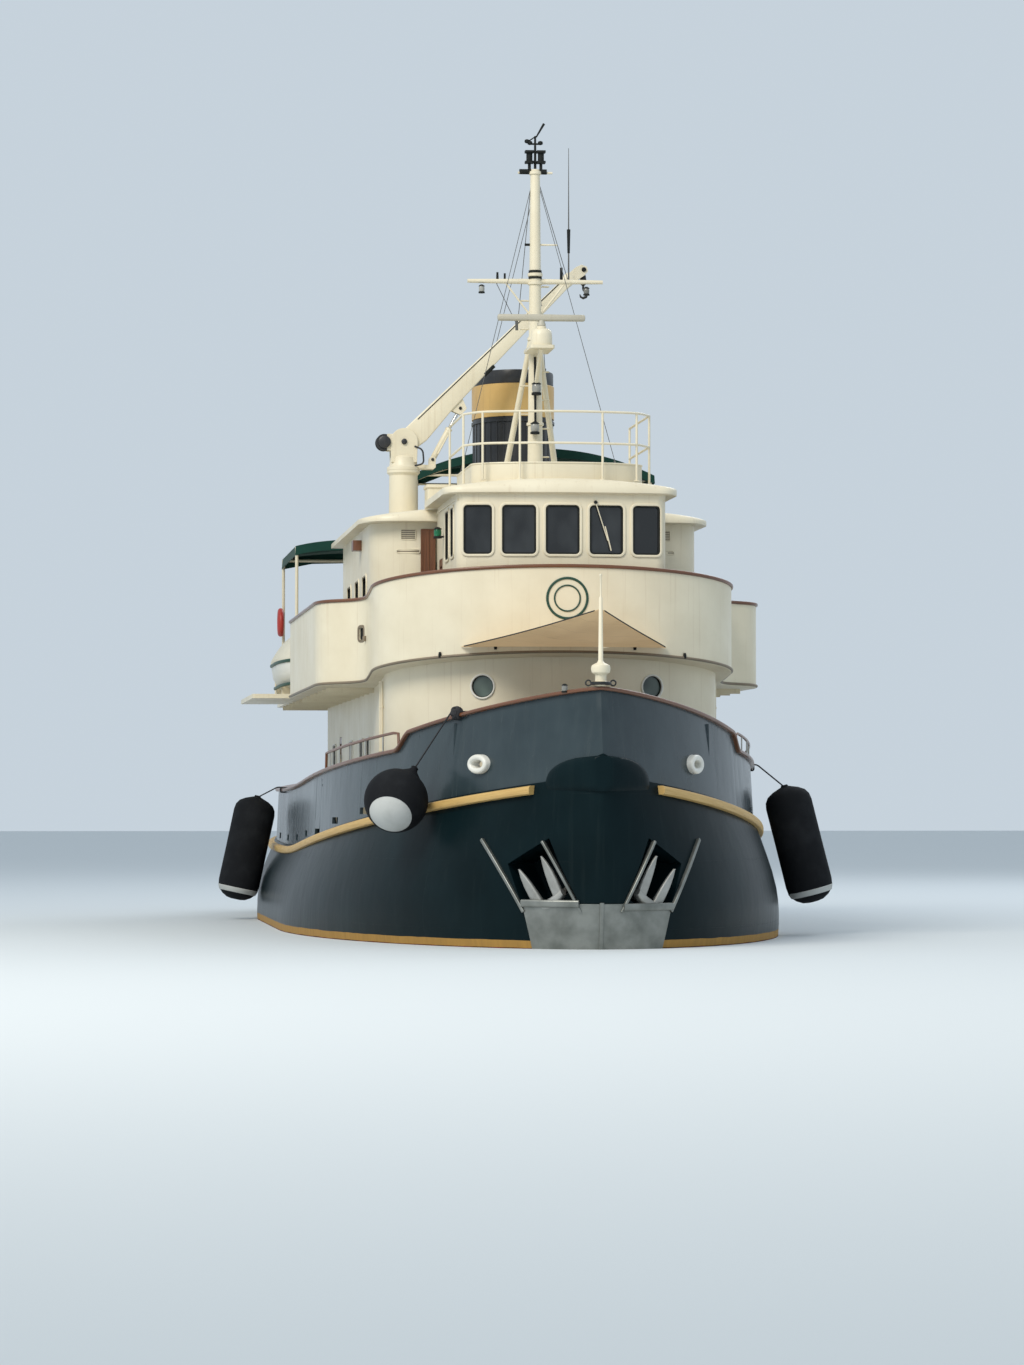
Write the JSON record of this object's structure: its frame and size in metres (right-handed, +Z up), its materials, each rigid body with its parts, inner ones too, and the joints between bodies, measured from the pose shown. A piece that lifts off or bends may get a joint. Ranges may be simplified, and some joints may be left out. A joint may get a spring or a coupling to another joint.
{
  "type": "tugboat",
  "caption": "Classic harbour tugboat kept as a yacht: high dark bow, cream deckhouse and wheelhouse, tall mast, black funnel, luffing crane, awnings and fenders.",
  "frame": {"origin": "on the waterline, on the centreplane, halfway between the stem and the end of the stern", "axes": "+Z up, +Y towards the stern, +X to port; the bow points along -Y"},
  "size_m": [10.9749, 33, 19.1],
  "materials": {
    "hull_paint": "very dark blue-green gloss, ochre line, dark red below water",
    "cream_paint": "cream gloss with light weathering",
    "strake_paint": "ochre painted hardwood, scuffed",
    "teak": "varnished teak",
    "stainless": "brushed, slightly water-stained",
    "black_iron": "black deck paint over castings",
    "funnel_black": "black satin",
    "funnel_gold": "gold satin",
    "window_glass": "tinted panes in dark frames",
    "green_canvas": "dark green woven acrylic",
    "sand_canvas": "sand woven shade cloth",
    "tender_cover": "off-white fitted cover",
    "fender_rubber": "black fender with white ends",
    "propeller_bronze": "cast bronze",
    "hydraulic_rod": "hard chrome"
  },
  "bodies": {
    "ship": {"hull": "hull_paint", "bulwark_fore": "hull_paint", "bulwark_aft": "hull_paint", "cap_rail_fore": "teak", "cap_rail_aft": "teak", "rubbing_strake_port": "strake_paint", "rubbing_strake_starboard": "strake_paint", "stem_plate": "stainless", "anchor_port": "stainless", "anchor_starboard": "stainless", "fairlead_port": "cream_paint", "fairlead_starboard": "cream_paint", "deckhouse": "cream_paint", "bridge_bulwark": "cream_paint", "bridge_bulwark_port": "cream_paint", "bridge_bulwark_starboard": "cream_paint", "bridge_cap_rail": "teak", "wheelhouse": "cream_paint", "wheelhouse_glass": "window_glass", "cabin_glass": "window_glass", "wheelhouse_roof": "cream_paint", "cabin": "cream_paint", "jackstaff": "cream_paint", "windlass": "black_iron", "bitts_fore_port": "black_iron", "bitts_fore_starboard": "black_iron", "hatch_coaming": "cream_paint", "capstan": "stainless", "bitts_aft_port": "black_iron", "bitts_aft_starboard": "black_iron", "boat_deck_rail": "cream_paint", "aft_awning": "green_canvas", "roof_awning": "green_canvas", "roof_awning_frame": "cream_paint", "flybridge_rail": "cream_paint", "mast": "cream_paint", "funnel": "funnel_black", "funnel_band": "funnel_gold", "cabin_roof": "cream_paint", "tender": "tender_cover", "boat_deck": "cream_paint", "shade_sail": "sand_canvas", "ball_fender": "fender_rubber", "fender_starboard": "fender_rubber", "fender_port": "fender_rubber"},
    "rudder_body": {"rudder": "hull_paint"},
    "propeller_body": {"propeller": "propeller_bronze"},
    "radar_body": {"radar_scanner": "cream_paint"},
    "crane_slewing": {"crane_column": "cream_paint"},
    "crane_jib_body": {"crane_jib": "cream_paint"},
    "crane_barrel_body": {"crane_barrel": "cream_paint"},
    "crane_rod_body": {"crane_rod": "hydraulic_rod"},
    "crane_hook": {"hook_block": "black_iron"},
    "wheelhouse_door_port_body": {"wheelhouse_door_port": "teak"},
    "wheelhouse_door_starboard_body": {"wheelhouse_door_starboard": "teak"},
    "deckhouse_door_port_body": {"deckhouse_door_port": "teak"},
    "deckhouse_door_starboard_body": {"deckhouse_door_starboard": "teak"},
    "gate_port_body": {"gate_port": "hull_paint"},
    "gate_starboard_body": {"gate_starboard": "hull_paint"},
    "hatch_lid_body": {"hatch_lid": "teak"}
  },
  "joints": [
    {"name": "rudder_turn", "type": "hinge", "parent": "ship", "child": "rudder_body", "pos_m": [0, 14.15, -2.4], "axis": [0, 0, 1], "range_deg": [-35, 35]},
    {"name": "propeller_spin", "type": "hinge", "parent": "ship", "child": "propeller_body", "pos_m": [0, 13, -2.4], "axis": [0, 1, 0], "continuous": true},
    {"name": "radar_spin", "type": "hinge", "parent": "ship", "child": "radar_body", "pos_m": [0, -7.35, 11.4], "axis": [0, 0, 1], "continuous": true},
    {"name": "crane_slew", "type": "hinge", "parent": "ship", "child": "crane_slewing", "pos_m": [-2.33, -4.15, 8.9], "axis": [0, 0, 1], "range_deg": [-10, 200]},
    {"name": "jib_luff", "type": "hinge", "parent": "crane_slewing", "child": "crane_jib_body", "pos_m": [-2.33, -4.15, 9.45], "axis": [0, -1, 0], "range_deg": [-20, 15]},
    {"name": "cylinder_swing", "type": "hinge", "parent": "crane_slewing", "child": "crane_barrel_body", "pos_m": [-1.77, -4.15, 9.115], "axis": [0, -1, 0], "range_deg": [-21, 16]},
    {"name": "cylinder_stroke", "type": "slide", "parent": "crane_barrel_body", "child": "crane_rod_body", "axis": [0.4745, 0, 0.8803], "range_m": [-0.23, 0.175]},
    {"name": "hook_swing", "type": "hinge", "parent": "crane_jib_body", "child": "crane_hook", "pos_m": [1.18091, -4.15, 12.83992], "axis": [0, -1, 0], "range_deg": [-16, 21]},
    {"name": "wheelhouse_door_port_swing", "type": "hinge", "parent": "ship", "child": "wheelhouse_door_port_body", "pos_m": [1.934, -7.864, 6], "axis": [0, 0, -1], "range_deg": [0, 95]},
    {"name": "wheelhouse_door_starboard_swing", "type": "hinge", "parent": "ship", "child": "wheelhouse_door_starboard_body", "pos_m": [-1.934, -7.864, 6], "axis": [0, 0, 1], "range_deg": [0, 95]},
    {"name": "deckhouse_door_port_swing", "type": "hinge", "parent": "ship", "child": "deckhouse_door_port_body", "pos_m": [3.084, 2.786, 2.9], "axis": [0, 0, -1], "range_deg": [0, 95]},
    {"name": "deckhouse_door_starboard_swing", "type": "hinge", "parent": "ship", "child": "deckhouse_door_starboard_body", "pos_m": [-3.084, 2.786, 2.9], "axis": [0, 0, 1], "range_deg": [0, 95]},
    {"name": "gate_port_swing", "type": "hinge", "parent": "ship", "child": "gate_port_body", "pos_m": [3.862, -6.106, 2.5], "axis": [0, 0, 1], "range_deg": [0, 88]},
    {"name": "gate_starboard_swing", "type": "hinge", "parent": "ship", "child": "gate_starboard_body", "pos_m": [-3.862, -6.106, 2.5], "axis": [0, 0, -1], "range_deg": [0, 88]},
    {"name": "hatch_lid_swing", "type": "hinge", "parent": "ship", "child": "hatch_lid_body", "pos_m": [0, -11.745, 2.89246], "axis": [-1, 0, 0], "range_deg": [0, 100]}
  ],
  "couplings": [
    {"joint": "cylinder_swing", "follows": "jib_luff", "ratio": 1},
    {"joint": "cylinder_stroke", "follows": "jib_luff", "m_per_rad": 0.6424},
    {"joint": "hook_swing", "follows": "jib_luff", "ratio": -1}
  ]
}
